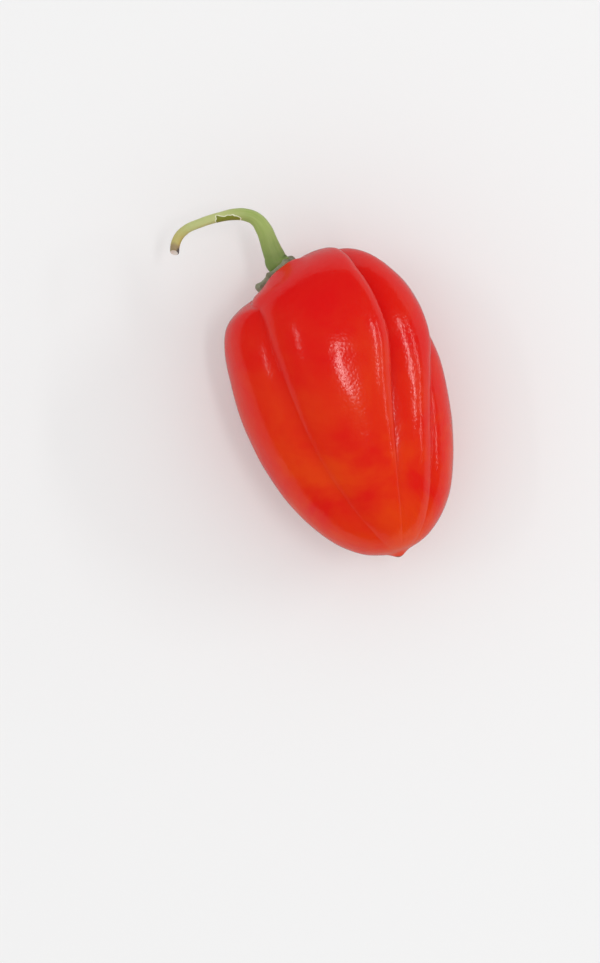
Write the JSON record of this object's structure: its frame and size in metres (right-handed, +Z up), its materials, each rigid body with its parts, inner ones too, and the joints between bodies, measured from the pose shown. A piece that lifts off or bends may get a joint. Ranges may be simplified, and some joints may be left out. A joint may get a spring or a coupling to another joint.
{
  "type": "habanero pepper",
  "caption": "Whole red habanero pepper with lobes and furrows, its calyx and its hooked green stem, lying on its side.",
  "frame": {"origin": "the middle of the underside of the whole pepper's box, on the surface it lies on", "axes": "+Y along the pod from its blossom tip to its stem, +X to the right as seen from above, +Z up"},
  "size_m": [0.039, 0.065, 0.0311],
  "materials": {
    "pod_skin": "gloss",
    "calyx": "matte",
    "stem": "satin"
  },
  "bodies": {
    "root": {"pod": "pod_skin", "calyx": "calyx", "stem": "stem"}
  },
  "joints": []
}
